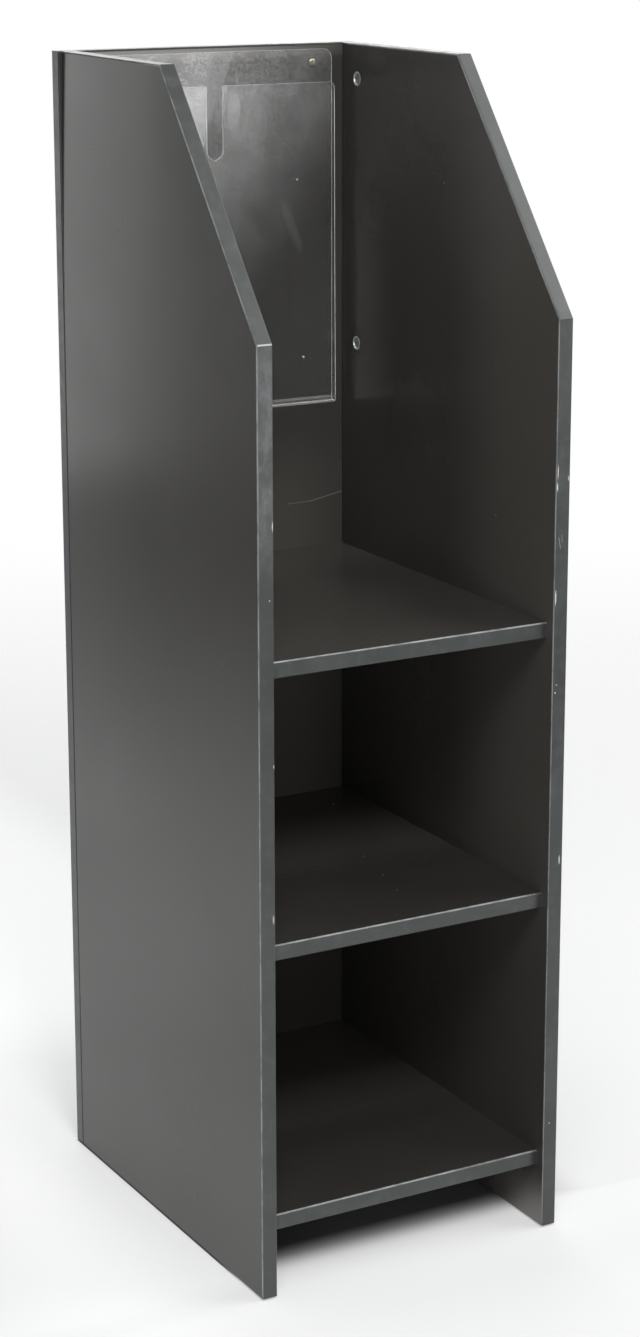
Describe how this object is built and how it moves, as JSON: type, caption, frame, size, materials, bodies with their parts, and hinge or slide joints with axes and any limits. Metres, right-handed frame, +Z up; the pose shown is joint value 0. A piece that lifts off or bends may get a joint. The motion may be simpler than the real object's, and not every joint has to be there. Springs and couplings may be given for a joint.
{
  "type": "periodical display rack",
  "caption": "Tall free-standing periodical display rack: sloped side panels, a lapped back panel, open recessed shelves and a clear sign pocket at the top.",
  "frame": {"origin": "on the floor, at the centre of the footprint", "axes": "+Z up, -Y out of the open front, +X to the right of someone facing the front"},
  "size_m": [0.342, 0.434, 1.18],
  "materials": {
    "board": "charcoal melamine-faced particle board, fine satin texture",
    "edge_band": "charcoal plastic edge band, satin, rubbed pale along the arrises",
    "clear_sheet": "clear heat-bent sheet, hazed by fine scuffs, bright polished edges",
    "zinc": "bright die-cast zinc",
    "steel": "zinc-plated steel",
    "dowel_wood": "bare beech",
    "glide": "black nylon",
    "screw_brass": "bright brass-plated pan head"
  },
  "bodies": {
    "rack": {"left_side_panel": "board", "left_front_band": "edge_band", "left_slope_band": "edge_band", "left_top_band": "edge_band", "left_rear_band": "edge_band", "right_side_panel": "board", "right_front_band": "edge_band", "right_slope_band": "edge_band", "right_top_band": "edge_band", "right_rear_band": "edge_band", "back_panel": "board", "back_left_band": "edge_band", "back_top_band": "edge_band", "back_right_band": "edge_band", "bottom_shelf": "board", "bottom_shelf_front_band": "edge_band", "middle_shelf": "board", "middle_shelf_front_band": "edge_band", "top_shelf": "board", "top_shelf_front_band": "edge_band", "sign_pocket": "clear_sheet", "back_joint_bolts": "steel", "back_joint_dowels": "dowel_wood", "bottom_shelf_bolts": "steel", "bottom_shelf_dowels": "dowel_wood", "middle_shelf_bolts": "steel", "middle_shelf_dowels": "dowel_wood", "top_shelf_bolts": "steel", "top_shelf_dowels": "dowel_wood", "glide_front_left": "glide", "glide_front_right": "glide", "glide_rear_left": "glide", "glide_rear_right": "glide", "pocket_screw_left": "screw_brass", "pocket_screw_right": "screw_brass"},
    "back_cam_upper_left": {"back_cam_upper_left": "zinc"},
    "back_cam_lower_left": {"back_cam_lower_left": "zinc"},
    "bottom_shelf_cam_front_left": {"bottom_shelf_cam_front_left": "zinc"},
    "bottom_shelf_cam_rear_left": {"bottom_shelf_cam_rear_left": "zinc"},
    "middle_shelf_cam_front_left": {"middle_shelf_cam_front_left": "zinc"},
    "middle_shelf_cam_rear_left": {"middle_shelf_cam_rear_left": "zinc"},
    "top_shelf_cam_front_left": {"top_shelf_cam_front_left": "zinc"},
    "top_shelf_cam_rear_left": {"top_shelf_cam_rear_left": "zinc"},
    "back_cam_upper_right": {"back_cam_upper_right": "zinc"},
    "back_cam_lower_right": {"back_cam_lower_right": "zinc"},
    "bottom_shelf_cam_front_right": {"bottom_shelf_cam_front_right": "zinc"},
    "bottom_shelf_cam_rear_right": {"bottom_shelf_cam_rear_right": "zinc"},
    "middle_shelf_cam_front_right": {"middle_shelf_cam_front_right": "zinc"},
    "middle_shelf_cam_rear_right": {"middle_shelf_cam_rear_right": "zinc"},
    "top_shelf_cam_front_right": {"top_shelf_cam_front_right": "zinc"},
    "top_shelf_cam_rear_right": {"top_shelf_cam_rear_right": "zinc"}
  },
  "joints": [
    {"name": "back_cam_upper_left_turn", "type": "hinge", "parent": "rack", "child": "back_cam_upper_left", "pos_m": [-0.155, 0.17, 1.144], "axis": [1, 0, 0], "range_deg": [0, 180]},
    {"name": "back_cam_lower_left_turn", "type": "hinge", "parent": "rack", "child": "back_cam_lower_left", "pos_m": [-0.155, 0.17, 0.866], "axis": [1, 0, 0], "range_deg": [0, 180]},
    {"name": "bottom_shelf_cam_front_left_turn", "type": "hinge", "parent": "rack", "child": "bottom_shelf_cam_front_left", "pos_m": [-0.124, -0.145, 0.066], "axis": [0, 0, -1], "range_deg": [0, 180]},
    {"name": "bottom_shelf_cam_rear_left_turn", "type": "hinge", "parent": "rack", "child": "bottom_shelf_cam_rear_left", "pos_m": [-0.124, 0.141, 0.066], "axis": [0, 0, -1], "range_deg": [0, 180]},
    {"name": "middle_shelf_cam_front_left_turn", "type": "hinge", "parent": "rack", "child": "middle_shelf_cam_front_left", "pos_m": [-0.124, -0.145, 0.346], "axis": [0, 0, -1], "range_deg": [0, 180]},
    {"name": "middle_shelf_cam_rear_left_turn", "type": "hinge", "parent": "rack", "child": "middle_shelf_cam_rear_left", "pos_m": [-0.124, 0.141, 0.346], "axis": [0, 0, -1], "range_deg": [0, 180]},
    {"name": "top_shelf_cam_front_left_turn", "type": "hinge", "parent": "rack", "child": "top_shelf_cam_front_left", "pos_m": [-0.124, -0.145, 0.626], "axis": [0, 0, -1], "range_deg": [0, 180]},
    {"name": "top_shelf_cam_rear_left_turn", "type": "hinge", "parent": "rack", "child": "top_shelf_cam_rear_left", "pos_m": [-0.124, 0.141, 0.626], "axis": [0, 0, -1], "range_deg": [0, 180]},
    {"name": "back_cam_upper_right_turn", "type": "hinge", "parent": "rack", "child": "back_cam_upper_right", "pos_m": [0.155, 0.17, 1.144], "axis": [-1, 0, 0], "range_deg": [0, 180]},
    {"name": "back_cam_lower_right_turn", "type": "hinge", "parent": "rack", "child": "back_cam_lower_right", "pos_m": [0.155, 0.17, 0.866], "axis": [-1, 0, 0], "range_deg": [0, 180]},
    {"name": "bottom_shelf_cam_front_right_turn", "type": "hinge", "parent": "rack", "child": "bottom_shelf_cam_front_right", "pos_m": [0.124, -0.145, 0.066], "axis": [0, 0, -1], "range_deg": [0, 180]},
    {"name": "bottom_shelf_cam_rear_right_turn", "type": "hinge", "parent": "rack", "child": "bottom_shelf_cam_rear_right", "pos_m": [0.124, 0.141, 0.066], "axis": [0, 0, -1], "range_deg": [0, 180]},
    {"name": "middle_shelf_cam_front_right_turn", "type": "hinge", "parent": "rack", "child": "middle_shelf_cam_front_right", "pos_m": [0.124, -0.145, 0.346], "axis": [0, 0, -1], "range_deg": [0, 180]},
    {"name": "middle_shelf_cam_rear_right_turn", "type": "hinge", "parent": "rack", "child": "middle_shelf_cam_rear_right", "pos_m": [0.124, 0.141, 0.346], "axis": [0, 0, -1], "range_deg": [0, 180]},
    {"name": "top_shelf_cam_front_right_turn", "type": "hinge", "parent": "rack", "child": "top_shelf_cam_front_right", "pos_m": [0.124, -0.145, 0.626], "axis": [0, 0, -1], "range_deg": [0, 180]},
    {"name": "top_shelf_cam_rear_right_turn", "type": "hinge", "parent": "rack", "child": "top_shelf_cam_rear_right", "pos_m": [0.124, 0.141, 0.626], "axis": [0, 0, -1], "range_deg": [0, 180]}
  ]
}
